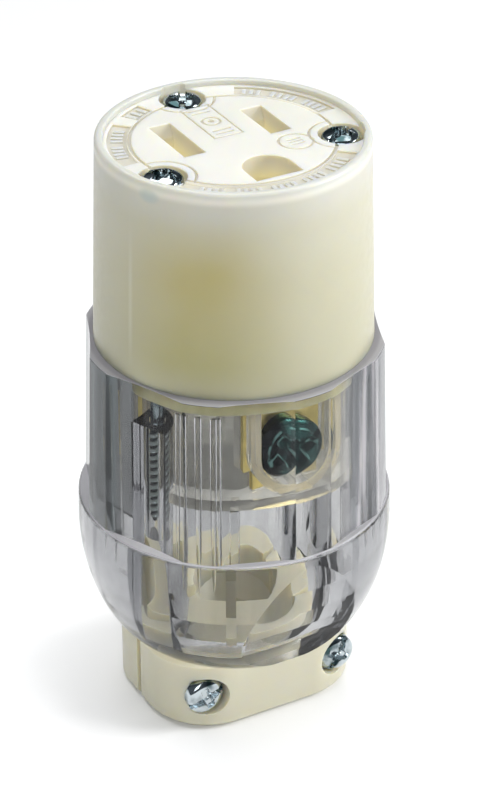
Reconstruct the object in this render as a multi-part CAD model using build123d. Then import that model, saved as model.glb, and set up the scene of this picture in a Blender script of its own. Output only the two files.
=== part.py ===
from build123d import *
import os
from math import sin, cos, radians

# A three-pin female cord connector, standing upright with its contact face up.
# Millimetres. +Z is the plug axis, the origin is the middle of the foot.
# -Y is the side of the round earth pin. Angles called phi run from -Y
# towards +X: phi 0 is -Y, phi 90 is +X, phi 180 is +Y.

# ---- driving dimensions -------------------------------------------------
LENGTH = 82.5            # foot of the cord clamp to the rim of the face
JOINT_Z = 54.4           # where the face body meets the clear housing
FACE_R_TOP = 17.45       # face body at the rim
FACE_R_JOINT = 18.35     # face body at the joint
RIM_IN_R = 16.35         # inside of the raised rim round the face
FACE_Z = 81.72           # the face itself, a little below the rim
FACE_SKIN = 3.15         # thickness of the face over the contact chambers
SPIGOT_R = 16.1          # spigot of the face body inside the housing
SPIGOT_Z = 51.6
BLOCK_Z = 52.4           # underside of the face body's solid middle

BLADE_X = 6.35           # the two flat blades stand 12.7 apart
BLADE_Y = 3.1
SLOT_T = 3.07            # slot width
SLOT_WIDE = 9.9          # neutral slot length
SLOT_NARROW = 8.2        # line slot length
PIN_Y = -9.0             # middle of the earth pin
PIN_HOLE_R = 3.28
PIN_FLAT_Y = -12.0

SCREW_PITCH = 13.72      # radius of the ring of long assembly screws
SCREW_PHI = (-67.5, 67.5, 180.0)
SCREW_R = 1.45
SCREW_HEAD_R = 2.60
SCREW_HEAD_Z = 80.45     # seat of the head
SCREW_TOP_Z = 82.15
SCREW_TIP_Z = 33.0

RIB_R_TOP = 19.90        # clear housing over its ribs, at the joint
RIB_R_LEDGE = 20.70      # the same at the ledge
FLAT_HOLLOW_R = 70.0     # the flats between the ribs are very slightly hollow
RIBS = ((1.5, 7.4), (43.5, 6.6), (90.0, 6.6), (137.5, 6.6), (180.0, 7.4), (-137.5, 6.6), (-90.0, 6.6), (-41.0, 6.4))  # middle and half width, degrees
LEDGE_Z = 31.0
LEDGE_R = 21.0
HOUSING_END_Z = 11.0
CAVITY_R = 16.3
FLOOR_Z = 14.0
NECK_BORE_R = 9.0
BOSS_R = 2.9
BOSS_TOP_Z = 47.6
HOLLOW_PHI = (0.0, 124.0, -124.0)
BEAD_R = 0.45            # upright beads inside the wall
BEAD_PHI = (-163.0, -154.0, -134.0, -126.0, -118.0, -110.0, -92.0, -85.0, -50.0, -43.5, -37.0,
            37.0, 43.5, 50.0, 85.0, 92.0, 110.0, 118.0, 126.0, 134.0, 154.0, 163.0)

CARRIER_R = 13.6
CARRIER_Z = 37.4         # underside of the terminal carrier
DISC_R = 15.9
DISC_TOP_Z = 39.0
TERMINAL_PHI = {"ground": 0.0, "hot": 118.0, "neutral": -118.0}
TERMINAL_Z = 44.7        # height of the terminal screws
TAB_IN, TAB_OUT = 12.0, 13.0   # brass tab, distances from the axis
TAB_HALF = 6.2
TAB_LOW_HALF = 4.7       # the tab's narrower foot
TAB_FOOT_Z = 38.0
TERM_HEAD_R = 4.2
TERM_HEAD_T = 2.3
U_IN, U_OUT = 4.45, 5.75  # wall round each terminal screw
TERM_SHANK_R = 1.95

CORD_R = 5.0             # bore of the cord clamp
CLAMP_X, CLAMP_Y = 30.0, 24.0
CLAMP_TOP = 10.8
CLAMP_GAP = 1.2
CLAMP_SCREW_X = 10.2
CLAMP_SCREW_Z = 5.4

os.makedirs("parts", exist_ok=True)


# ---- helpers ------------------------------------------------------------
def cyl(r, z0, z1, x=0.0, y=0.0):
    return Pos(x, y, (z0 + z1) / 2) * Cylinder(r, z1 - z0)


def box(x0, x1, y0, y1, z0, z1):
    return Pos((x0 + x1) / 2, (y0 + y1) / 2, (z0 + z1) / 2) * Box(x1 - x0, y1 - y0, z1 - z0)


def ring(r0, r1, z0, z1, x=0.0, y=0.0):
    return cyl(r1, z0, z1, x, y) - cyl(r0, z0 - 1, z1 + 1, x, y)


def turned(points, arc=360.0, start=0.0):
    """Solid turned about Z from (radius, z) points."""
    face = make_face(Polyline(*[(r, 0, z) for r, z in points], close=True))
    return Rot(0, 0, start) * revolve(face, Axis.Z, arc)


def sector(r0, r1, phi0, phi1, z0, z1):
    return turned([(r0, z0), (r1, z0), (r1, z1), (r0, z1)], phi1 - phi0, phi0 - 90.0)


def at(phi, r):
    a = radians(phi)
    return r * sin(a), -r * cos(a)


def slab(points_xz, y0, y1):
    """Outline in X and Z, thickened from y0 to y1."""
    face = make_face(Polyline(*[(x, y0, z) for x, z in points_xz], close=True))
    return extrude(face, amount=y1 - y0, dir=(0, 1, 0))


def one(shape):
    solids = shape.solids()
    return solids[0] if len(solids) == 1 else shape


def save(name, shape):
    shape = one(shape)
    shape.label = name
    export_step(shape, "parts/" + name + ".step")
    print(name, "solids", len(shape.solids()), "mm3", round(shape.volume, 1))


# ---- face body: one nylon moulding -------------------------------------
face = turned([
    (0, BLOCK_Z), (14.7, BLOCK_Z), (14.7, SPIGOT_Z), (SPIGOT_R, SPIGOT_Z),
    (SPIGOT_R, JOINT_Z), (FACE_R_JOINT, JOINT_Z), (FACE_R_TOP, LENGTH),
    (RIM_IN_R, LENGTH), (RIM_IN_R, FACE_Z), (0, FACE_Z)])
rim = [e for e in face.edges() if e.geom_type == GeomType.CIRCLE
       and abs(e.center().Z - LENGTH) < 0.01 and abs(e.radius - FACE_R_TOP) < 0.01]
face = fillet(rim, 0.45)
rim = [e for e in face.edges() if e.geom_type == GeomType.CIRCLE
       and abs(e.center().Z - LENGTH) < 0.01 and abs(e.radius - RIM_IN_R) < 0.01]
face = fillet(rim, 0.22)

# ring groove and the shallow arc panels outside it
face = face - ring(12.8, 13.3, FACE_Z - 0.35, FACE_Z + 0.5)
PANELS = ((-134.7, -88.0), (-158.0, -143.0), (96.0, 151.0), (30.0, 47.0), (-54.6, 30.0))
for p0, p1 in PANELS[:3] + ((-54.6, 47.0),):
    face = face - sector(13.35, 15.9, p0, p1, FACE_Z - 0.32, FACE_Z + 0.5)

# bores and seats of the long screws
for phi in SCREW_PHI:
    x, y = at(phi, SCREW_PITCH)
    face = face - cyl(1.7, BOSS_TOP_Z - 1, LENGTH, x, y)
    face = face - (cyl(3.1, SCREW_HEAD_Z, LENGTH + 1, x, y) & cyl(16.62, SCREW_HEAD_Z - 1, LENGTH + 2))

    # shallow ring round each screw, inside the ring groove
    face = face - (ring(3.95, 4.35, FACE_Z - 0.3, FACE_Z + 0.5, x, y) & cyl(13.0, FACE_Z - 1, LENGTH))

# plain rectangular panel between the slots and round panel beside the pin hole
panel = box(-2.2, 2.2, 1.0, 10.8, FACE_Z - 0.22, FACE_Z + 0.5) - box(-1.85, 1.85, 1.35, 10.45, FACE_Z - 1, FACE_Z + 1)
for y0 in (2.0, 2.9, 8.5, 9.4):
    panel = panel + box(-1.35, 1.35, y0, y0 + 0.4, FACE_Z - 0.22, FACE_Z + 0.5)
panel = panel + ring(0.95, 1.35, FACE_Z - 0.22, FACE_Z + 0.5, 0, 5.9) + cyl(0.45, FACE_Z - 0.22, FACE_Z + 0.5, 0, 5.9)
face = face - panel
panel = ring(2.0, 2.4, FACE_Z - 0.22, FACE_Z + 0.5, 6.5, -4.4)
for y0 in (-5.25, -4.55, -3.85):
    panel = panel + box(5.5, 7.5, y0, y0 + 0.35, FACE_Z - 0.22, FACE_Z + 0.5)
face = face - panel

# the two blade slots, each with a sloped lead-in at its +Y end
for sx, length in ((-1, SLOT_WIDE), (1, SLOT_NARROW)):
    xc = sx * BLADE_X
    y0, y1 = BLADE_Y - length / 2, BLADE_Y + length / 2
    face = face - box(xc - SLOT_T / 2, xc + SLOT_T / 2, y0, y1 - 1.0, 70, LENGTH)
    lead = make_face(Polyline((xc - SLOT_T / 2, y1 - 1.3, FACE_Z + 0.2), (xc - SLOT_T / 2, y1 + 0.12, FACE_Z + 0.2),
                              (xc - SLOT_T / 2, y1 - 1.0, FACE_Z - 1.6), (xc - SLOT_T / 2, y1 - 1.3, FACE_Z - 1.6), close=True))
    face = face - extrude(lead, amount=SLOT_T, dir=(1, 0, 0))
# the arched hole of the earth pin, flat on its outer side
pin_hole = cyl(PIN_HOLE_R, 70, LENGTH, 0, PIN_Y) + box(-PIN_HOLE_R, PIN_HOLE_R, PIN_FLAT_Y, PIN_Y, 70, LENGTH)
pin_hole = pin_hole & box(-PIN_HOLE_R, PIN_HOLE_R, PIN_FLAT_Y, 0, 70, LENGTH)
face = face - pin_hole

# chambers for the three contacts, open underneath
CH_TOP = FACE_Z - FACE_SKIN
for sx in (-1, 1):
    xc = sx * BLADE_X
    face = face - box(xc - 3.2, xc + 3.2, -2.6, 8.7, BLOCK_Z - 1, CH_TOP)
face = face - box(-4.2, 4.2, -13.9, -4.7, BLOCK_Z - 1, CH_TOP)
for key in ("hot", "neutral"):
    slot = box(-3.0, 3.0, -13.3, -4.5, BLOCK_Z - 2, 58.2)
    face = face - Rot(0, 0, TERMINAL_PHI[key]) * slot
# coring out of the thick middle and sides
face = face - box(-1.8, 1.8, -3.2, 9.8, BLOCK_Z - 1, CH_TOP)
for p0, p1 in ((24.0, 50.0), (-50.0, -24.0)):
    face = face - sector(11.2, 15.6, p0, p1, BLOCK_Z - 1, CH_TOP)
save("face_body", face)


# ---- clear back housing: one moulding ----------------------------------
upper = turned([(0, LEDGE_Z - 1), (RIB_R_LEDGE, LEDGE_Z - 1), (RIB_R_LEDGE, LEDGE_Z),
                (RIB_R_TOP, JOINT_Z - 0.12), (RIB_R_TOP - 0.12, JOINT_Z), (0, JOINT_Z)])
for i in range(len(RIBS)):
    (p0, h0), (p1, h1) = RIBS[i], RIBS[(i + 1) % len(RIBS)]
    a0, a1 = (p0 + h0) % 360.0, (p1 - h1) % 360.0
    a1 = a1 if a1 > a0 else a1 + 360.0
    middle, half = (a0 + a1) / 2, (a1 - a0) / 2
    # the flat leans with the side: its corners lie on the ribs at the joint and at the ledge
    edge_top, edge_low = RIB_R_TOP * cos(radians(half)), RIB_R_LEDGE * cos(radians(half))
    in_top, in_low = RIB_R_TOP * sin(radians(half)), RIB_R_LEDGE * sin(radians(half))
    tools = []
    for z, edge, side in ((LEDGE_Z, edge_low, in_low), (JOINT_Z + 0.5, edge_top, in_top)):
        sag = FLAT_HOLLOW_R - (FLAT_HOLLOW_R ** 2 - side ** 2) ** 0.5
        tools.append(Face(Wire([
            ThreePointArc((-side, -edge, z), (0, -edge + sag, z), (side, -edge, z)).edge(),
            Line((side, -edge, z), (side + 0.4, -edge - 3.0, z)).edge(),
            Line((side + 0.4, -edge - 3.0, z), (-side - 0.4, -edge - 3.0, z)).edge(),
            Line((-side - 0.4, -edge - 3.0, z), (-side, -edge, z)).edge()])))
    upper = upper - Rot(0, 0, middle) * loft(tools, ruled=True)

# the lower body: a turned bulge with three hollows scooped between the screws
bulge_line = Spline((LEDGE_R, 0, 30.4), (21.12, 0, 26.5), (20.45, 0, 20.5), (18.6, 0, 15.2), (15.6, 0, HOUSING_END_Z),
                    tangents=((0.06, 0, -1), (-0.75, 0, -0.66)))
bulge_face = make_face([
    Line((0, 0, HOUSING_END_Z), (0, 0, LEDGE_Z)), Line((0, 0, LEDGE_Z), (LEDGE_R - 0.6, 0, LEDGE_Z)),
    ThreePointArc((LEDGE_R - 0.6, 0, LEDGE_Z), (LEDGE_R - 0.176, 0, LEDGE_Z - 0.176), (LEDGE_R, 0, LEDGE_Z - 0.6)),
    bulge_line, Line((15.6, 0, HOUSING_END_Z), (0, 0, HOUSING_END_Z))])
lower = revolve(bulge_face, Axis.Z, 360.0)
hollow_line = Spline((0, -21.08, 30.2), (0, -20.45, 25.8), (0, -18.75, 20.2), (0, -16.7, 15.0), (0, -15.1, 10.0),
                     tangents=((0, 0.02, -1), (0, 0.3, -1)))
hollow_face = make_face([
    hollow_line, Line((0, -15.1, 10.0), (0, 30, 10.0)), Line((0, 30, 10.0), (0, 30, 32.0)),
    Line((0, 30, 32.0), (0, -21.08, 32.0)), Line((0, -21.08, 32.0), (0, -21.08, 30.2))])
keep = extrude(hollow_face, amount=30, dir=(1, 0, 0), both=True)
for phi in HOLLOW_PHI:
    lower = lower & (Rot(0, 0, phi) * keep)

shell = upper + lower
cavity = turned([
    (0, FLOOR_Z), (12.4, FLOOR_Z), (13.4, 15.0), (14.5, 17.2), (15.4, 20.2), (15.95, 24.0),
    (16.1, 31.0), (CAVITY_R, JOINT_Z - 0.5), (CAVITY_R + 0.3, JOINT_Z + 0.5), (0, JOINT_Z + 0.5)])
shell = shell - cavity - cyl(NECK_BORE_R, HOUSING_END_Z - 1, FLOOR_Z + 1)
# bosses for the long screws, and the inner ribs that carry the terminal carrier
for phi in SCREW_PHI:
    x, y = at(phi, SCREW_PITCH)
    web = Rot(0, 0, phi) * box(-BOSS_R, BOSS_R, -17.0, -SCREW_PITCH, FLOOR_Z + 2.0, BOSS_TOP_Z)
    shell = shell + ((cyl(BOSS_R, FLOOR_Z - 0.5, BOSS_TOP_Z, x, y) + web) & cyl(18.0, 0, 60))
for phi in (-30.0, 30.0, -101.0, 101.0, -146.0, 146.0):
    web = box(-0.6, 0.6, -16.6, -14.2, FLOOR_Z + 2.6, CARRIER_Z)
    shell = shell + Rot(0, 0, phi) * web
# upright beads on the inside of the wall
for phi in BEAD_PHI:
    x, y = at(phi, CAVITY_R + 0.12)
    shell = shell + cyl(BEAD_R, 22.0, 51.2, x, y)
for phi in SCREW_PHI:
    x, y = at(phi, SCREW_PITCH)
    shell = shell - cyl(SCREW_R + 0.04, 30.5, BOSS_TOP_Z + 1, x, y)
save("back_housing", shell)


# ---- terminal carrier: one moulding ------------------------------------
carrier = cyl(CARRIER_R, CARRIER_Z, BLOCK_Z - 0.1) + cyl(DISC_R, CARRIER_Z, DISC_TOP_Z)
for phi in TERMINAL_PHI.values():
    # flat that the tab lies on, with the stop below it
    carrier = carrier - Rot(0, 0, phi) * box(-8, 8, -20, -TAB_IN, DISC_TOP_Z, BLOCK_Z)
    carrier = carrier - Rot(0, 0, phi) * box(-TAB_LOW_HALF - 0.05, TAB_LOW_HALF + 0.05, -TAB_OUT - 0.05, -TAB_IN, TAB_FOOT_Z, DISC_TOP_Z + 1)
for phi in TERMINAL_PHI.values():
    ox, oz = U_OUT * sin(radians(20)), TERMINAL_Z - U_OUT * cos(radians(20))
    mx, mz = U_OUT * sin(radians(62)), TERMINAL_Z - U_OUT * cos(radians(62))
    low = DISC_TOP_Z - 0.3
    outline = make_face([
        Line((-U_OUT, 0, 51.4), (-U_OUT, 0, TERMINAL_Z)), ThreePointArc((-U_OUT, 0, TERMINAL_Z), (-mx, 0, mz), (-ox, 0, oz)),
        Line((-ox, 0, oz), (-ox, 0, low)), Line((-ox, 0, low), (ox, 0, low)), Line((ox, 0, low), (ox, 0, oz)),
        ThreePointArc((ox, 0, oz), (mx, 0, mz), (U_OUT, 0, TERMINAL_Z)),
        Line((U_OUT, 0, TERMINAL_Z), (U_OUT, 0, 51.4)), Line((U_OUT, 0, 51.4), (U_IN, 0, 51.4)),
        Line((U_IN, 0, 51.4), (U_IN, 0, TERMINAL_Z)),
        ThreePointArc((U_IN, 0, TERMINAL_Z), (0, 0, TERMINAL_Z - U_IN), (-U_IN, 0, TERMINAL_Z)),
        Line((-U_IN, 0, TERMINAL_Z), (-U_IN, 0, 51.4)), Line((-U_IN, 0, 51.4), (-U_OUT, 0, 51.4))])
    wall = Pos(0, -DISC_R - 1, 0) * extrude(outline, amount=DISC_R + 1 - TAB_OUT - 0.1, dir=(0, 1, 0))
    wall = wall & cyl(DISC_R - 0.2, 30, 60)
    wall = Rot(0, 0, phi) * wall
    # pocket of the pressure plate and wire, open to the flat, and the wire's way in
    pocket = box(-4.4, 4.4, -TAB_IN - 1, -5.6, 40.2, 50.4) + cyl(1.9, CARRIER_Z - 1, 41, 0, -9.9)
    carrier = carrier - Rot(0, 0, phi) * pocket
    carrier = carrier + wall
for phi in SCREW_PHI:
    x, y = at(phi, SCREW_PITCH)
    carrier = carrier - cyl(3.3, CARRIER_Z - 1, BLOCK_Z + 1, x, y)
    carrier = carrier - Rot(0, 0, phi) * box(-3.3, 3.3, -20, -SCREW_PITCH, CARRIER_Z - 1, BLOCK_Z + 1)
save("terminal_carrier", carrier)


# ---- contacts: brass strip, folded -------------------------------------
def strip(neck_top):
    """Tab, neck and foot of a contact, drawn on the -Y side."""
    s = box(-TAB_HALF, TAB_HALF, -TAB_OUT, -TAB_IN, 42.0, 51.3) + box(-TAB_LOW_HALF, TAB_LOW_HALF, -TAB_OUT, -TAB_IN, TAB_FOOT_Z, 43.0)
    s = s + box(-2.5, 2.5, -TAB_OUT, -TAB_IN, 50.0, neck_top)
    return s - Pos(0, -12.5, TERMINAL_Z) * (Rot(90, 0, 0) * Cylinder(2.1, 4))


def blade_contact(sx, phi):
    xc = sx * BLADE_X
    leaf = [(-1.9, 56.4), (-1.9, 60.0), (-1.42, 72.5), (-2.25, 76.3), (-1.5, 76.7), (-0.62, 72.5), (-1.1, 60.0),
            (-1.1, 57.2), (0, 57.2), (0, 56.4)]
    left = slab([(xc + a, b) for a, b in leaf], BLADE_Y - 3.0, BLADE_Y + 3.0)
    right = slab([(xc - a, b) for a, b in leaf], BLADE_Y - 3.0, BLADE_Y + 3.0)
    foot = Rot(0, 0, phi) * (strip(57.2) + box(-2.5, 2.5, -TAB_OUT, -7.2, 56.4, 57.2))
    return left + right + foot


save("hot_contact", blade_contact(1, TERMINAL_PHI["hot"]))
save("neutral_contact", blade_contact(-1, TERMINAL_PHI["neutral"]))

clip = ring(2.35, 3.1, 57.5, 76.0, 0, PIN_Y) - box(-0.6, 0.6, PIN_Y - 4, PIN_Y + 4, 60.0, 80.0)
clip = clip + cyl(3.1, 57.0, 58.0, 0, PIN_Y) + box(-2.5, 2.5, -TAB_OUT, PIN_Y, 57.0, 58.0) + strip(58.0)
save("ground_contact", clip)

# steel springs that back the contacts' leaves
for sx, name in ((1, "hot_contact_spring"), (-1, "neutral_contact_spring")):
    xc = sx * BLADE_X
    s = (box(xc - 2.45, xc + 2.45, BLADE_Y - 3.55, BLADE_Y + 3.55, 62.0, 66.5)
         - box(xc - 1.98, xc + 1.98, BLADE_Y - 3.1, BLADE_Y + 3.1, 61.0, 67.5)
         - box(xc - 0.5, xc + 0.5, BLADE_Y - 5.0, BLADE_Y, 61.0, 67.5))
    save(name, s)
s = ring(3.15, 3.6, 62.0, 66.5, 0, PIN_Y) - box(-0.5, 0.5, PIN_Y, PIN_Y + 5, 61.0, 67.5)
save("ground_contact_spring", s)

# ---- terminal screws and the plates they draw up -----------------------
term = turned([(0, 0), (TERM_SHANK_R, 0), (TERM_SHANK_R, 6.5), (TERM_HEAD_R, 6.5), (TERM_HEAD_R, 7.6),
               (TERM_HEAD_R - 0.3, 8.0), (TERM_HEAD_R - 1.2, 8.45), (1.9, 8.75), (0, 6.5 + TERM_HEAD_T)])
term = term - box(-5, 5, -0.6, 0.6, 6.5 + TERM_HEAD_T - 1.0, 12) - box(-0.6, 0.6, -1.9, 1.9, 6.5 + TERM_HEAD_T - 1.3, 12)
term = Pos(0, -TAB_OUT - 0.02 + 6.5, TERMINAL_Z) * (Rot(90, 0, 0) * term)
plate = box(-4.1, 4.1, -9.2, -7.7, 40.9, 49.1) - Pos(0, -8.4, TERMINAL_Z) * (Rot(90, 0, 0) * Cylinder(2.0, 6))
for key, phi in TERMINAL_PHI.items():
    save(key + "_terminal_screw", Rot(0, 0, phi) * term)
    save(key + "_pressure_plate", Rot(0, 0, phi) * plate)

# ---- long assembly screws ----------------------------------------------
screw = turned([(0, SCREW_TIP_Z), (SCREW_R - 0.45, SCREW_TIP_Z), (SCREW_R, SCREW_TIP_Z + 0.6), (SCREW_R, SCREW_HEAD_Z),
                (SCREW_HEAD_R, SCREW_HEAD_Z), (SCREW_HEAD_R, SCREW_HEAD_Z + 0.75), (SCREW_HEAD_R - 0.25, SCREW_HEAD_Z + 1.15),
                (SCREW_HEAD_R - 0.8, SCREW_HEAD_Z + 1.48), (SCREW_HEAD_R - 1.5, SCREW_TOP_Z - 0.05), (0, SCREW_TOP_Z)])
screw = screw - box(-3, 3, -0.42, 0.42, SCREW_TOP_Z - 0.8, LENGTH) - box(-0.42, 0.42, -1.5, 1.5, SCREW_TOP_Z - 1.1, LENGTH)
screws = []
for phi, turn in zip(SCREW_PHI, (35.0, 62.0, -20.0)):
    x, y = at(phi, SCREW_PITCH)
    screws.append((Pos(x, y, 0) * (Rot(0, 0, turn) * screw)).solids()[0])
save("assembly_screws", Compound(children=screws))

# ---- cord clamp: two jaws and their screws -----------------------------
block = extrude(RectangleRounded(CLAMP_X, CLAMP_Y, 9.0), CLAMP_TOP)
block = chamfer([e for e in block.edges() if abs(e.center().Z) < 0.01], 0.8)
block = chamfer([e for e in block.edges() if abs(e.center().Z - CLAMP_TOP) < 0.01], 0.6)
block = block + cyl(8.7, CLAMP_TOP - 1, 16.3) + cyl(10.6, FLOOR_Z + 0.2, 16.3)
bore = turned([(0, -1), (7.0, -1), (6.0, 0), (CORD_R, 1.2), (CORD_R, 9.6), (6.2, 11.0), (6.2, 17.0), (0, 17.0)])
block = block - bore
for z in (3.2, 7.6):
    block = block - ring(4.0, CORD_R + 0.5, z - 0.45, z + 0.45)
front = block - box(-20, 20, -CLAMP_GAP / 2, 20, -1, 20)
rear = block - box(-20, 20, -20, CLAMP_GAP / 2, -1, 20)
jaw_screws = []
for sx in (-1, 1):
    xs = sx * CLAMP_SCREW_X
    front = front - Pos(xs, -6, CLAMP_SCREW_Z) * (Rot(90, 0, 0) * Cylinder(1.7, 14))
    front = front - Pos(xs, -11.5, CLAMP_SCREW_Z) * (Rot(90, 0, 0) * Cylinder(3.0, 4.0))
    rear = rear - Pos(xs, 2.5, CLAMP_SCREW_Z) * (Rot(90, 0, 0) * Cylinder(1.52, 14))
    js = turned([(0, 0), (1.0, 0), (1.5, 0.6), (1.5, 18.0), (2.7, 18.0), (2.7, 19.0), (2.1, 19.75), (0, 19.9)])
    js = js - box(-3, 3, -0.45, 0.45, 19.1, 21) - box(-0.45, 0.45, -1.5, 1.5, 18.8, 21)
    js = Pos(xs, -9.5 + 18.0, CLAMP_SCREW_Z) * (Rot(90, 0, 0) * (Rot(0, 0, 30.0 * sx) * js))
    jaw_screws.append(js.solids()[0])
save("cord_clamp_front", front)
save("cord_clamp_rear", rear)
save("cord_clamp_screws", Compound(children=jaw_screws))
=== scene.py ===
import math
import bmesh
import bpy
from mathutils import Matrix, Vector


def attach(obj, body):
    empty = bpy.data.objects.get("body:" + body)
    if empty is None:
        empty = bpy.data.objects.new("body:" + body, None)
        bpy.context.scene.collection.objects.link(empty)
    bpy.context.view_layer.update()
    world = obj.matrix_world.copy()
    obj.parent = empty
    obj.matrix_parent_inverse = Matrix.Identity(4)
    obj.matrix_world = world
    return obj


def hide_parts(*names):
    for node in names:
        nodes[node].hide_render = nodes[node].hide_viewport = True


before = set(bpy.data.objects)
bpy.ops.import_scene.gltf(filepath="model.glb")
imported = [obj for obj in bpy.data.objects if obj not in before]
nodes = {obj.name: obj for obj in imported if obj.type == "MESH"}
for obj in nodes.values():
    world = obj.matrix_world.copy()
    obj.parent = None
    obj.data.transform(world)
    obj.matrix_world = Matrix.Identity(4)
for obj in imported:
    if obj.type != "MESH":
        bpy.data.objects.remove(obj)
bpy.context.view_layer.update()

scene = bpy.context.scene
scene.view_settings.view_transform = "Standard"
MM = 0.001

# ---------------------------------------------------------------- camera
AZ, EL, DIST = math.radians(-28.87), math.radians(30.88), 0.350
TX, TZ = 0.00140, 0.04358
right = Vector((math.cos(AZ), math.sin(AZ), 0))
back = Vector((math.sin(AZ) * math.cos(EL), -math.cos(AZ) * math.cos(EL), math.sin(EL)))
up = back.cross(right)
cam_data = bpy.data.cameras.new("camera")
cam_data.lens = 118.8
cam_data.sensor_width = 36.0
cam_data.clip_start = 0.01
cam = bpy.data.objects.new("camera", cam_data)
scene.collection.objects.link(cam)
target = Vector((0, 0, TZ)) + TX * right
cam.matrix_world = Matrix.Translation(target + DIST * back) @ Matrix((right, up, back)).transposed().to_4x4()
scene.camera = cam


# ---------------------------------------------------------------- shader helpers
def new_mat(name):
    m = bpy.data.materials.new(name)
    m.use_nodes = True
    nt = m.node_tree
    return m, nt, nt.nodes["Principled BSDF"]


def link(nt, a, b):
    nt.links.new(a, b)


def node(nt, kind, **values):
    n = nt.nodes.new(kind)
    for k, v in values.items():
        setattr(n, k, v)
    return n


def ramp(nt, stops, interpolation="EASE"):
    n = nt.nodes.new("ShaderNodeValToRGB")
    r = n.color_ramp
    r.interpolation = interpolation
    while len(r.elements) > 1:
        r.elements.remove(r.elements[-1])
    r.elements[0].position, r.elements[0].color = stops[0][0], (*stops[0][1], 1)
    for p, c in stops[1:]:
        e = r.elements.new(p)
        e.color = (*c, 1)
    return n


def maths(nt, op, a, b=None, clamp=False):
    n = node(nt, "ShaderNodeMath", operation=op, use_clamp=clamp)
    for i, v in enumerate((a, b)):
        if v is None:
            continue
        if isinstance(v, (int, float)):
            n.inputs[i].default_value = v
        else:
            link(nt, v, n.inputs[i])
    return n.outputs[0]


def span(nt, value, lo, hi, out_lo=0.0, out_hi=1.0):
    n = node(nt, "ShaderNodeMapRange", clamp=True, interpolation_type="SMOOTHSTEP")
    n.inputs["From Min"].default_value = lo
    n.inputs["From Max"].default_value = hi
    n.inputs["To Min"].default_value = out_lo
    n.inputs["To Max"].default_value = out_hi
    link(nt, value, n.inputs["Value"])
    return n.outputs["Result"]


def blend(nt, fac, a, b, kind="MIX"):
    n = node(nt, "ShaderNodeMix", data_type="RGBA", blend_type=kind)
    if isinstance(fac, (int, float)):
        n.inputs["Factor"].default_value = fac
    else:
        link(nt, fac, n.inputs["Factor"])
    for key, v in (("A", a), ("B", b)):
        if isinstance(v, tuple):
            n.inputs[key].default_value = (*v, 1)
        else:
            link(nt, v, n.inputs[key])
    return n.outputs["Result"]


def noise(nt, vector, scale, detail=2.0, stretch=None):
    n = node(nt, "ShaderNodeTexNoise")
    n.inputs["Scale"].default_value = scale
    n.inputs["Detail"].default_value = detail
    if stretch is not None:
        mp = node(nt, "ShaderNodeMapping")
        mp.inputs["Scale"].default_value = stretch
        link(nt, vector, mp.inputs["Vector"])
        vector = mp.outputs["Vector"]
    link(nt, vector, n.inputs["Vector"])
    return n.outputs["Fac"]


def bump(nt, p, height, strength, distance):
    n = node(nt, "ShaderNodeBump")
    n.inputs["Strength"].default_value = strength
    n.inputs["Distance"].default_value = distance
    link(nt, height, n.inputs["Height"])
    link(nt, n.outputs["Normal"], p.inputs["Normal"])


def give(obj, mat):
    if len(obj.material_slots) == 0:
        obj.data.materials.append(mat)
    for s in obj.material_slots:
        s.material = mat


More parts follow.
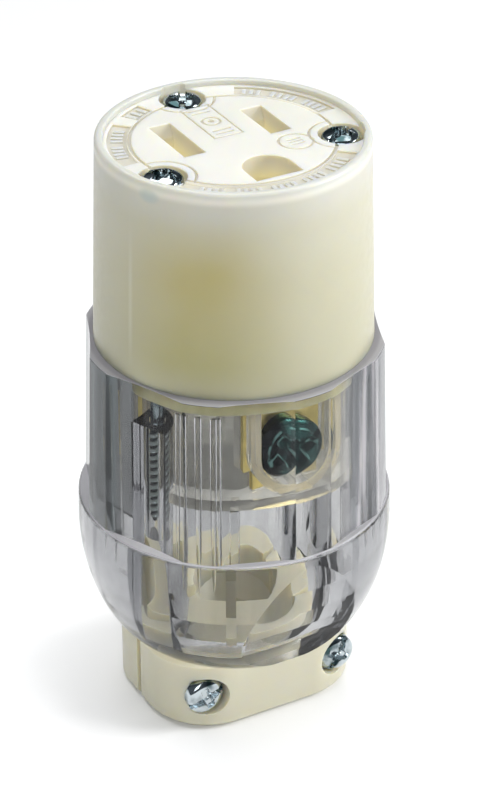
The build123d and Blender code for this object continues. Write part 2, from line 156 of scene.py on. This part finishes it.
# ---------------------------------------------------------------- materials
def nylon_material(name, face):
    m, nt, p = new_mat(name)
    p.inputs["Roughness"].default_value = 0.34
    p.inputs["IOR"].default_value = 1.53
    p.inputs["Subsurface Weight"].default_value = 0.85
    p.inputs["Subsurface Radius"].default_value = (1.0, 0.80, 0.42)
    p.inputs["Subsurface Scale"].default_value = 0.0024
    tc = node(nt, "ShaderNodeTexCoord")
    at = tc.outputs["Object"]
    sep = node(nt, "ShaderNodeSeparateXYZ")
    link(nt, at, sep.inputs[0])
    x, y, z = sep.outputs[0], sep.outputs[1], sep.outputs[2]
    if face:
        # painted shade: the nylon is coloured darker towards the bottom of the side and lightest on the face
        zr2 = node(nt, "ShaderNodeMapRange")
        zr2.inputs["From Min"].default_value = 0.050
        zr2.inputs["From Max"].default_value = 0.0828
        link(nt, z, zr2.inputs["Value"])
        painted_height_shade_ramp = ramp(nt, [(0.0, (0.45, 0.435, 0.30)), (0.18, (0.485, 0.468, 0.335)), (0.55, (0.53, 0.51, 0.375)),
                       (0.80, (0.57, 0.555, 0.44)), (0.93, (0.60, 0.592, 0.52)), (0.966, (0.785, 0.780, 0.730)), (1.0, (0.77, 0.77, 0.73))])
        link(nt, zr2.outputs["Result"], painted_height_shade_ramp.inputs["Fac"])
        colour = painted_height_shade_ramp.outputs["Color"]
        # painted shade: a soft tan patch darkens the side where it lies in shadow; part of its tint is the metal inside
        # showing through the wall
        ang = maths(nt, "ARCTAN2", x, maths(nt, "MULTIPLY", y, -1.0))
        da = maths(nt, "ABSOLUTE", maths(nt, "ADD", ang, 0.74))
        wide = span(nt, da, 0.06, 0.80, 1.0, 0.0)
        tall = maths(nt, "MULTIPLY", span(nt, z, 0.0525, 0.0595), span(nt, z, 0.0705, 0.0800, 1.0, 0.0))
        painted_shade_patch = maths(nt, "MULTIPLY", maths(nt, "MULTIPLY", wide, tall), maths(nt, "ADD", noise(nt, at, 70.0), 0.40), True)
        tan = blend(nt, span(nt, z, 0.056, 0.072), (0.395, 0.370, 0.155), (0.47, 0.405, 0.145))
        colour = blend(nt, maths(nt, "MULTIPLY", painted_shade_patch, 0.86), colour, tan)
        # faint upright glint on the side
        dg = maths(nt, "DIVIDE", maths(nt, "ABSOLUTE", maths(nt, "ADD", ang, 1.295)), 0.030)
        glint = maths(nt, "MULTIPLY", span(nt, dg, 0.0, 1.0, 1.0, 0.0), maths(nt, "MULTIPLY", span(nt, z, 0.055, 0.063), span(nt, z, 0.068, 0.078, 1.0, 0.0)))
        colour = blend(nt, maths(nt, "MULTIPLY", glint, 0.32), colour, (0.70, 0.70, 0.64))
        # painted shade: recessed floors and the walls of the holes are coloured darker than the face
        rad = maths(nt, "SQRT", maths(nt, "ADD", maths(nt, "MULTIPLY", x, x), maths(nt, "MULTIPLY", y, y)))
        inside = maths(nt, "LESS_THAN", rad, 0.01632)
        low = span(nt, z, 0.08152, 0.08169, 1.0, 0.0)
        painted_recess_shade = maths(nt, "MULTIPLY", inside, low)
        colour = blend(nt, maths(nt, "MULTIPLY", painted_recess_shade, 0.95), colour, (0.575, 0.55, 0.475))
        painted_hole_shade = maths(nt, "MULTIPLY", inside, span(nt, z, 0.0781, 0.0808, 1.0, 0.0))
        colour = blend(nt, maths(nt, "MULTIPLY", painted_hole_shade, 0.85), colour, (0.68, 0.62, 0.33))
        # thin translucent rim
        rim = maths(nt, "MULTIPLY", maths(nt, "GREATER_THAN", rad, 0.01630), span(nt, z, 0.0811, 0.0822))
        colour = blend(nt, maths(nt, "MULTIPLY", rim, 0.85), colour, (0.55, 0.57, 0.56))
        # the screw seats lie close under the outer wall and show as faint bluish spots
        for a0 in (math.radians(-64.5), math.radians(67.5)):
            da = maths(nt, "DIVIDE", maths(nt, "ADD", ang, -a0), 0.105)
            dz = maths(nt, "DIVIDE", maths(nt, "ADD", z, -0.0808), 0.0012)
            spot = maths(nt, "ADD", maths(nt, "MULTIPLY", da, da), maths(nt, "MULTIPLY", dz, dz))
            spot = maths(nt, "MULTIPLY", span(nt, spot, 0.0, 1.0, 0.55, 0.0), maths(nt, "GREATER_THAN", rad, 0.0168))
            colour = blend(nt, spot, colour, (0.40, 0.50, 0.52))
        # painted glow: emission on the walls of the holes stands in for light coming through them
        painted_glow = maths(nt, "MULTIPLY", inside, maths(nt, "MULTIPLY", span(nt, z, 0.0728, 0.0771), span(nt, z, 0.0786, 0.0818, 1.0, 0.25)))
        painted_glow = maths(nt, "MULTIPLY", painted_glow, maths(nt, "LESS_THAN", z, 0.08163))
        link(nt, maths(nt, "MULTIPLY", painted_glow, 0.31), p.inputs["Emission Strength"])
        p.inputs["Emission Color"].default_value = (0.92, 0.83, 0.52, 1)
    else:
        colour = (0.62, 0.595, 0.47)
    mottle = ramp(nt, [(0.3, (0.94, 0.94, 0.91)), (0.7, (1.0, 1.0, 1.0))], "LINEAR")
    link(nt, noise(nt, at, 60.0), mottle.inputs["Fac"])
    colour = blend(nt, 1.0, colour, mottle.outputs["Color"], "MULTIPLY")
    link(nt, colour, p.inputs["Base Color"])
    rough = noise(nt, at, 900.0, 3.0)
    link(nt, span(nt, rough, 0.3, 0.7, 0.30, 0.40), p.inputs["Roughness"])
    bump(nt, p, noise(nt, at, 2600.0), 0.06, 0.0001)
    return m


def clear_material(name, base, tint, density, rough, streak, ior=1.58, frost_z=None, weight=1.0):
    m, nt, p = new_mat(name)
    p.inputs["Transmission Weight"].default_value = weight
    p.inputs["Roughness"].default_value = rough
    p.inputs["IOR"].default_value = ior
    p.inputs["Specular Tint"].default_value = (0.13, 0.13, 0.145, 1)
    tc = node(nt, "ShaderNodeTexCoord")
    at = tc.outputs["Object"]
    # moulded plastic: faint upright flow lines and cloudiness
    cloud = ramp(nt, [(0.25, tuple(0.84 * c for c in base)), (0.75, tuple(min(1.0, 1.08 * c) for c in base))], "LINEAR")
    link(nt, noise(nt, at, 420.0, 3.0, (1.0, 1.0, 0.06)), cloud.inputs["Fac"])
    colour = cloud.outputs["Color"]
    if frost_z is not None:
        # the flat rim and the ledge are as moulded, a little frosted
        sep = node(nt, "ShaderNodeSeparateXYZ")
        link(nt, at, sep.inputs[0])
        x, y, z = sep.outputs[0], sep.outputs[1], sep.outputs[2]
        rad = maths(nt, "SQRT", maths(nt, "ADD", maths(nt, "MULTIPLY", x, x), maths(nt, "MULTIPLY", y, y)))
        ledge = maths(nt, "MULTIPLY", span(nt, z, 0.03060, 0.03090), maths(nt, "LESS_THAN", z, 0.03101))
        ledge = maths(nt, "MULTIPLY", ledge, maths(nt, "GREATER_THAN", rad, 0.0190))
        frost = maths(nt, "MAXIMUM", span(nt, z, frost_z - 0.00014, frost_z - 0.00004), ledge)
        # painted shade and painted streaks: the outer wall is made matt and coloured darker to the left and lighter to
        # the right, with fine upright light and dark lines standing in for refraction at the inner ribs; it stays clear
        # only over the ground terminal's window
        a0 = math.radians(-28.5)
        toward = maths(nt, "ADD", maths(nt, "MULTIPLY", x, math.sin(a0)), maths(nt, "MULTIPLY", y, -math.cos(a0)))
        matt_painted_wall = span(nt, maths(nt, "DIVIDE", toward, rad), 0.60, 0.76, 1.0, 0.0)
        matt_painted_wall = maths(nt, "MULTIPLY", matt_painted_wall, maths(nt, "GREATER_THAN", rad, 0.0184))
        matt_painted_wall = maths(nt, "MULTIPLY", matt_painted_wall, maths(nt, "GREATER_THAN", z, 0.03102))
        across = maths(nt, "ADD", maths(nt, "MULTIPLY", x, math.cos(a0)), maths(nt, "MULTIPLY", y, math.sin(a0)))
        shade = blend(nt, span(nt, across, -0.012, 0.012), (0.072, 0.097, 0.105), (0.335, 0.335, 0.365))
        painted_streak_lines = ramp(nt, [(0.38, (0.24, 0.28, 0.29)), (0.50, (0.84, 0.86, 0.85)), (0.62, (2.30, 2.20, 2.10))], "LINEAR")
        link(nt, noise(nt, at, 800.0, 3.0, (1.0, 1.0, 0.02)), painted_streak_lines.inputs["Fac"])
        shade = blend(nt, 1.0, shade, painted_streak_lines.outputs["Color"], "MULTIPLY")
        colour = blend(nt, maths(nt, "MULTIPLY", matt_painted_wall, 0.85), colour, shade)
        # painted highlight: the frosted rim is coloured lighter towards its outer edge and darker inside
        edge = blend(nt, span(nt, rad, 0.01885, 0.01945), (0.52, 0.505, 0.545), (0.70, 0.69, 0.72))
        colour = blend(nt, frost, colour, edge)
        veil = maths(nt, "MAXIMUM", maths(nt, "MULTIPLY", frost, 0.55), maths(nt, "MULTIPLY", matt_painted_wall, 0.38))
        link(nt, maths(nt, "SUBTRACT", 1.0, veil), p.inputs["Transmission Weight"])
        link(nt, span(nt, maths(nt, "MAXIMUM", frost, maths(nt, "MULTIPLY", matt_painted_wall, 0.30)), 0.0, 1.0, rough, 0.30), p.inputs["Roughness"])
    link(nt, colour, p.inputs["Base Color"])
    bump(nt, p, noise(nt, at, 330.0, 1.5, (1.0, 1.0, 0.05)), streak, 0.0003)
    out = nt.nodes["Material Output"]
    ab = node(nt, "ShaderNodeVolumeAbsorption")
    ab.inputs["Color"].default_value = (*tint, 1)
    ab.inputs["Density"].default_value = density
    link(nt, ab.outputs["Volume"], out.inputs["Volume"])
    return m


def metal_material(name, colour, rough, wear=0.18, metallic=1.0, dark=None):
    m, nt, p = new_mat(name)
    p.inputs["Metallic"].default_value = metallic
    tc = node(nt, "ShaderNodeTexCoord")
    at = tc.outputs["Object"]
    shade = dark if dark is not None else tuple(c * (1.0 - wear) for c in colour)
    rc = ramp(nt, [(0.32, shade), (0.62, colour)], "EASE")
    link(nt, noise(nt, at, 420.0, 4.0), rc.inputs["Fac"])
    link(nt, rc.outputs["Color"], p.inputs["Base Color"])
    link(nt, span(nt, noise(nt, at, 1100.0, 3.0), 0.25, 0.75, rough * 0.8, rough * 1.4), p.inputs["Roughness"])
    bump(nt, p, noise(nt, at, 1600.0, 3.0), 0.08, 0.00006)
    return m


nylon = nylon_material("natural_nylon", True)
jaw_nylon = nylon_material("clamp_nylon", False)
clear = clear_material("clear_polycarbonate", (0.89, 0.89, 0.885), (0.62, 0.625, 0.64), 170.0, 0.02, 0.10, frost_z=0.0544)
carrier_mat = clear_material("clear_carrier", (0.88, 0.87, 0.81), (0.86, 0.86, 0.80), 20.0, 0.10, 0.04, weight=0.77)
brass = metal_material("brass_strip", (1.0, 0.84, 0.34), 0.36, 0.18)
brass_screw = metal_material("brass_screw", (0.84, 0.62, 0.25), 0.2)
nickel = metal_material("nickel_screw", (0.66, 0.66, 0.64), 0.2)
zinc = metal_material("zinc_screw", (0.58, 0.64, 0.67), 0.10, dark=(0.045, 0.085, 0.090))
znt = zinc.node_tree
zp = znt.nodes["Principled BSDF"]
zsep = node(znt, "ShaderNodeSeparateXYZ")
link(znt, node(znt, "ShaderNodeTexCoord").outputs["Object"], zsep.inputs[0])
root = None
for phi in (-67.5, 67.5, 180.0):
    cx, cy = 0.01372 * math.sin(math.radians(phi)), -0.01372 * math.cos(math.radians(phi))
    dx, dy = maths(znt, "ADD", zsep.outputs[0], -cx), maths(znt, "ADD", zsep.outputs[1], -cy)
    dist = maths(znt, "SQRT", maths(znt, "ADD", maths(znt, "MULTIPLY", dx, dx), maths(znt, "MULTIPLY", dy, dy)))
    root = dist if root is None else maths(znt, "MINIMUM", root, dist)
# painted shade and painted highlight: on the threads the roots are coloured near black and the crests given a little
# emission
crest = span(znt, root, 0.00102, 0.00126, 0.03, 1.0)
thread = maths(znt, "MULTIPLY", maths(znt, "LESS_THAN", zsep.outputs[2], 0.0469), maths(znt, "GREATER_THAN", zsep.outputs[2], 0.030))
shade = blend(znt, thread, (1.0, 1.0, 1.0), blend(znt, crest, (0.02, 0.03, 0.04), (1.0, 1.0, 1.0)))
old = zp.inputs["Base Color"].links[0].from_socket
link(znt, blend(znt, 1.0, old, shade, "MULTIPLY"), zp.inputs["Base Color"])
link(znt, maths(znt, "MULTIPLY", maths(znt, "MULTIPLY", crest, thread), 0.22), zp.inputs["Emission Strength"])
zp.inputs["Emission Color"].default_value = (0.62, 0.70, 0.66, 1)
spring = metal_material("spring_steel", (0.26, 0.27, 0.30), 0.3)
green = metal_material("green_screw", (0.022, 0.105, 0.092), 0.16, metallic=0.85, dark=(0.002, 0.012, 0.014))
gnt = green.node_tree
gp = gnt.nodes["Principled BSDF"]
gsep = node(gnt, "ShaderNodeSeparateXYZ")
link(gnt, node(gnt, "ShaderNodeTexCoord").outputs["Object"], gsep.inputs[0])
old = gp.inputs["Base Color"].links[0].from_socket
# painted shade: the ground screw's head is coloured near black on its left side
link(gnt, blend(gnt, span(gnt, gsep.outputs[0], -0.0016, 0.0004), (0.002, 0.005, 0.006), old), gp.inputs["Base Color"])
ga, gb = gsep.outputs[0], maths(gnt, "ADD", gsep.outputs[2], -0.0447)
gr = maths(gnt, "SQRT", maths(gnt, "ADD", maths(gnt, "MULTIPLY", ga, ga), maths(gnt, "MULTIPLY", gb, gb)))
gc, gs = math.cos(math.radians(24.0)), math.sin(math.radians(24.0))
gu = maths(gnt, "ABSOLUTE", maths(gnt, "ADD", maths(gnt, "MULTIPLY", ga, gc), maths(gnt, "MULTIPLY", gb, gs)))
gv = maths(gnt, "ABSOLUTE", maths(gnt, "ADD", maths(gnt, "MULTIPLY", ga, -gs), maths(gnt, "MULTIPLY", gb, gc)))
def line_at(value, middle, half):
    return span(gnt, maths(gnt, "ABSOLUTE", maths(gnt, "ADD", value, -middle)), half * 0.4, half, 1.0, 0.0)
# painted highlight: pale lines of emission along the cross, the slot and a ring on the head
painted_edge_highlight = maths(gnt, "MAXIMUM", maths(gnt, "MULTIPLY", line_at(gv, 0.00062, 0.00016), span(gnt, gu, 0.0030, 0.0034, 1.0, 0.0)),
             maths(gnt, "MULTIPLY", line_at(gu, 0.00100, 0.00016), span(gnt, gv, 0.0021, 0.0025, 1.0, 0.0)))
painted_edge_highlight = maths(gnt, "MAXIMUM", painted_edge_highlight, line_at(gr, 0.00310, 0.00015))
painted_edge_highlight = maths(gnt, "MULTIPLY", painted_edge_highlight, span(gnt, noise(gnt, node(gnt, "ShaderNodeTexCoord").outputs["Object"], 700.0, 2.0), 0.44, 0.58))
link(gnt, maths(gnt, "MULTIPLY", painted_edge_highlight, 0.55), gp.inputs["Emission Strength"])
gp.inputs["Emission Color"].default_value = (0.22, 0.42, 0.38, 1)
green.node_tree.nodes["Principled BSDF"].inputs["Coat Weight"].default_value = 0.15
green.node_tree.nodes["Principled BSDF"].inputs["Coat Roughness"].default_value = 0.12

looks = {"face_body": nylon, "back_housing": clear, "terminal_carrier": carrier_mat,
         "hot_contact": brass, "neutral_contact": brass, "ground_contact": brass,
         "hot_contact_spring": spring, "neutral_contact_spring": spring, "ground_contact_spring": spring,
         "hot_terminal_screw": brass_screw, "neutral_terminal_screw": nickel, "ground_terminal_screw": green,
         "hot_pressure_plate": brass, "neutral_pressure_plate": brass, "ground_pressure_plate": brass,
         "assembly_screws": zinc, "cord_clamp_front": jaw_nylon, "cord_clamp_rear": jaw_nylon, "cord_clamp_screws": zinc}
for n, m in looks.items():
    give(nodes[n], m)
# light reaches what is inside the clear mouldings
nodes["back_housing"].visible_shadow = False
nodes["terminal_carrier"].visible_shadow = False


# ---------------------------------------------------------------- screws
class Build:
    """Collects points and faces of one mesh; lengths in millimetres."""

    def __init__(self):
        self.points, self.faces = [], []

    def grid(self, rows, closed=True, cap_first=False, cap_last=False):
        base, n = len(self.points), len(rows[0])
        for row in rows:
            self.points.extend(row)
        for i in range(len(rows) - 1):
            for j in range(n if closed else n - 1):
                a, b = base + i * n + j, base + i * n + (j + 1) % n
                self.faces.append((a, b, b + n, a + n))
        if cap_first:
            self.faces.append(tuple(base + j for j in reversed(range(n))))
        if cap_last:
            self.faces.append(tuple(base + (len(rows) - 1) * n + j for j in range(n)))

    def fan(self, centre, row_start, n, flip=False):
        c = len(self.points)
        self.points.append(centre)
        for j in range(n):
            a, b = row_start + j, row_start + (j + 1) % n
            self.faces.append((c, b, a) if flip else (c, a, b))

    def make(self, name, mat, slot, replaces, crease=38.0):
        me = bpy.data.meshes.new(name)
        me.from_pydata([tuple(v * MM for v in p) for p in self.points], [], self.faces)
        me.validate()
        bm = bmesh.new()
        bm.from_mesh(me)
        bmesh.ops.recalc_face_normals(bm, faces=bm.faces)
        bm.to_mesh(me)
        bm.free()
        me.polygons.foreach_set("use_smooth", [True] * len(me.polygons))
        me.set_sharp_from_angle(angle=math.radians(crease))
        ob = bpy.data.objects.new(name, me)
        scene.collection.objects.link(ob)
        give(ob, mat)
        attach(ob, "root")
        if replaces:
            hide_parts(*replaces)
        return ob


def step(v, e):
    t = max(0.0, min(1.0, v / e + 0.5))
    return t * t * (3 - 2 * t)


def head_height(a, b, R, side, dome, arm, arm_len, pit_r, pit, slot_half, slot_depth, ring_r=None, e=0.10):
    """Height of a pan head over its seat: a dome with a driver cross and a slot sunk into it."""
    r = math.hypot(a, b)
    h = side + dome * math.sqrt(max(0.0, 1.0 - (r / R) ** 2.7))
    cut = 0.0
    # slot right across
    cut = max(cut, slot_depth * step(slot_half - abs(b), e))
    # cross: arms that taper in plan and in depth
    for u, v in ((a, b), (b, a)):
        au = abs(u)
        width = arm * (1.0 - 0.25 * au / arm_len)
        d = pit * (0.55 + 0.45 * max(0.0, 1.0 - au / arm_len))
        cut = max(cut, d * step(width - abs(v), e) * step(arm_len - au, e * 2.2))
    cut = max(cut, pit * step(pit_r - r, e * 3.0))
    if ring_r is not None:
        cut += 0.16 * math.exp(-((r - ring_r) / 0.16) ** 2)
    fade = min(1.0, max(0.0, (R - r) / 0.12))
    return h - min(cut, h - 0.35) * fade


def add_head(build, place, R, side, dome, turn, n_phi=132, n_r=34, **shape):
    """place(a, b, h) puts a point of the head, h above its seat, into the object."""
    c, s = math.cos(turn), math.sin(turn)
    rows = []
    ring = [(math.cos(2 * math.pi * j / n_phi), math.sin(2 * math.pi * j / n_phi)) for j in range(n_phi)]
    for h, k in ((0.0, 0.985), (0.04, 1.0), (side * 0.5, 1.0)):
        rows.append([place(R * k * x, R * k * y, h) for x, y in ring])
    for i in range(n_r, 0, -1):
        r = R * (1.0 - (1.0 - i / n_r) ** 1.0)
        r = min(r, R * 0.999)
        row = []
        for x, y in ring:
            a, b = r * x, r * y
            row.append(place(a, b, head_height(c * a + s * b, -s * a + c * b, R, side, dome, **shape)))
        rows.append(row)
    start = len(build.points)
    build.grid(rows, cap_first=True)
    last = start + (len(rows) - 1) * n_phi
    build.fan(place(0, 0, head_height(0, 0, R, side, dome, **shape)), last, n_phi)


def add_shank(build, place, h_top, h_thread, h_tip, r_plain, r_crest, r_root, pitch, n_phi=28, per_turn=10, taper=1.2, starts=1):
    """Plain shank from h_top down to h_thread, then a rolled thread down to a blunt tip."""
    rows = []
    ring = [2 * math.pi * j / n_phi for j in range(n_phi)]
    rows.append([place(r_plain * math.cos(t), r_plain * math.sin(t), h_top) for t in ring])
    rows.append([place(r_plain * math.cos(t), r_plain * math.sin(t), h_thread + 0.2) for t in ring])
    n = int((h_thread - h_tip) / pitch * per_turn)
    for i in range(n + 1):
        h = h_thread - (h_thread - h_tip) * i / n
        end = min(1.0, (h - h_tip) / taper)
        row = []
        for t in ring:
            f = (h / pitch - starts * t / (2 * math.pi)) % 1.0
            tooth = max(0.0, 1.0 - abs(f - 0.5) / 0.36)
            r = r_root + (r_crest - r_root) * min(1.0, tooth * 1.15) * min(1.0, i / (per_turn * 1.0))
            r = r * (0.55 + 0.45 * end)
            row.append(place(r * math.cos(t), r * math.sin(t), h))
        rows.append(row)
    build.grid(rows, cap_first=True, cap_last=True)


SCREW_PHI, SCREW_PITCH = (-67.5, 67.5, 180.0), 13.72
long_screws = Build()
for phi, turn in zip(SCREW_PHI, (-62.0, 28.0, 62.0)):
    sx, sy = SCREW_PITCH * math.sin(math.radians(phi)), -SCREW_PITCH * math.cos(math.radians(phi))

    def place(a, b, h, sx=sx, sy=sy):
        return (sx + a, sy + b, 80.45 + h)
    add_head(long_screws, place, 2.60, 0.75, 0.94, math.radians(turn), arm=0.62, arm_len=1.62, pit_r=0.9, pit=1.30,
             slot_half=0.36, slot_depth=0.80)
    add_shank(long_screws, place, 0.02, -33.45, -47.43, 1.30, 1.45, 0.98, 1.1, n_phi=36, per_turn=12, starts=2)
long_screws.make("assembly_screws_detail", zinc, "zinc_screw", ["assembly_screws"])

TERMINALS = (("ground", 0.0, green, "green_screw", 24.0), ("hot", 118.0, brass_screw, "brass_screw", -12.0),
             ("neutral", -118.0, nickel, "nickel_screw", 40.0))
for key, phi, mat, slot, turn in TERMINALS:
    co, si = math.cos(math.radians(phi)), math.sin(math.radians(phi))

    def place(a, b, h, co=co, si=si):
        px, py = a, -13.02 - h
        return (co * px - si * py, si * px + co * py, 44.7 + b)
    one = Build()
    add_head(one, place, 4.20, 1.05, 1.20, math.radians(turn), n_phi=200, n_r=60, arm=1.05, arm_len=2.60, pit_r=1.4, pit=1.65,
             slot_half=0.58, slot_depth=1.1, ring_r=3.25, e=0.10)
    add_shank(one, place, 0.02, -0.9, -6.46, 1.85, 1.94, 1.55, 0.8, per_turn=8, taper=0.8)
    one.make(key + "_terminal_screw_detail", mat, slot, [key + "_terminal_screw"])

jaw = Build()
for sx, turn in ((-1, 20.0), (1, 64.0)):
    def place(a, b, h, sx=sx):
        return (sx * 10.2 + a, -9.5 - h, 5.4 + b)
    add_head(jaw, place, 2.70, 0.95, 0.93, math.radians(turn), n_phi=110, n_r=30, arm=0.60, arm_len=1.6, pit_r=0.9, pit=1.15,
             slot_half=0.36, slot_depth=0.75)
    add_shank(jaw, place, 0.02, -6.0, -17.98, 1.38, 1.49, 1.12, 0.85)
jaw.make("cord_clamp_screws_detail", zinc, "zinc_screw", ["cord_clamp_screws"])

# ---------------------------------------------------------------- raised bars in the arc panels of the face
def bar(build, phi, r0, r1, width, z0, z1, soft=0.07):
    """One small block with softened top edges, lying along a radius."""
    c, s = math.cos(math.radians(phi)), math.sin(math.radians(phi))

    def put(u, v, z):   # u across, v outwards
        return (c * u + s * v, s * u - c * v, z)
    rows = []
    for z, inset in ((z0, 0.0), (z1 - soft, 0.0), (z1 - soft * 0.3, soft * 0.3), (z1, soft)):
        w = width / 2 - inset
        a, b = r0 + inset, r1 - inset
        rows.append([put(-w, a, z), put(w, a, z), put(w, b, z), put(-w, b, z)])
    build.grid([row[::-1] for row in rows], cap_first=True, cap_last=True)


bars = Build()
for p0, p1 in ((-128.0, -95.0), (-155.0, -146.0), (101.0, 146.0), (-44.0, 20.0), (27.0, 43.0)):
    n = int(round((p1 - p0) / 3.6))
    for i in range(n + 1):
        if i % 5 == 4:
            continue
        phi = p0 + (p1 - p0) * i / max(1, n)
        bar(bars, phi, 13.85, 15.40, 0.52, 81.39, 81.61)
bars.make("face_bars", nylon, "natural_nylon", [], crease=30.0)

# ---------------------------------------------------------------- stage
bpy.ops.mesh.primitive_grid_add(x_subdivisions=8, y_subdivisions=8, size=6.0, location=(0, 0, 0))
floor = bpy.context.object
floor.name = "floor"
fm, fnt, fp = new_mat("pale_floor")
fp.inputs["Base Color"].default_value = (0.90, 0.90, 0.90, 1)
fp.inputs["Roughness"].default_value = 0.8
fp.inputs["Specular IOR Level"].default_value = 0.1
give(floor, fm)


def softbox(name, place, aim, w, h, power, colour=(1, 1, 1)):
    d = bpy.data.lights.new(name, "AREA")
    d.shape = "RECTANGLE"
    d.size, d.size_y = w, h
    d.energy = power
    d.color = colour
    o = bpy.data.objects.new(name, d)
    scene.collection.objects.link(o)
    o.location = place
    o.rotation_euler = (Vector(aim) - Vector(place)).to_track_quat("-Z", "Y").to_euler()
    return o


softbox("top", (0.06, 0.30, 0.95), (0.03, 0.16, 0.0), 0.95, 0.95, 8.7)
softbox("key", (0.40, -0.24, 0.30), (0, 0, 0.05), 0.20, 0.28, 2.35)
softbox("fill", (-0.24, -0.36, 0.30), (0, 0, 0.05), 0.30, 0.30, 0.95)

world = bpy.data.worlds.new("world")
scene.world = world
world.use_nodes = True
bg = world.node_tree.nodes["Background"]
bg.inputs["Color"].default_value = (0.72, 0.82, 0.92, 1)
bg.inputs["Strength"].default_value = 0.12
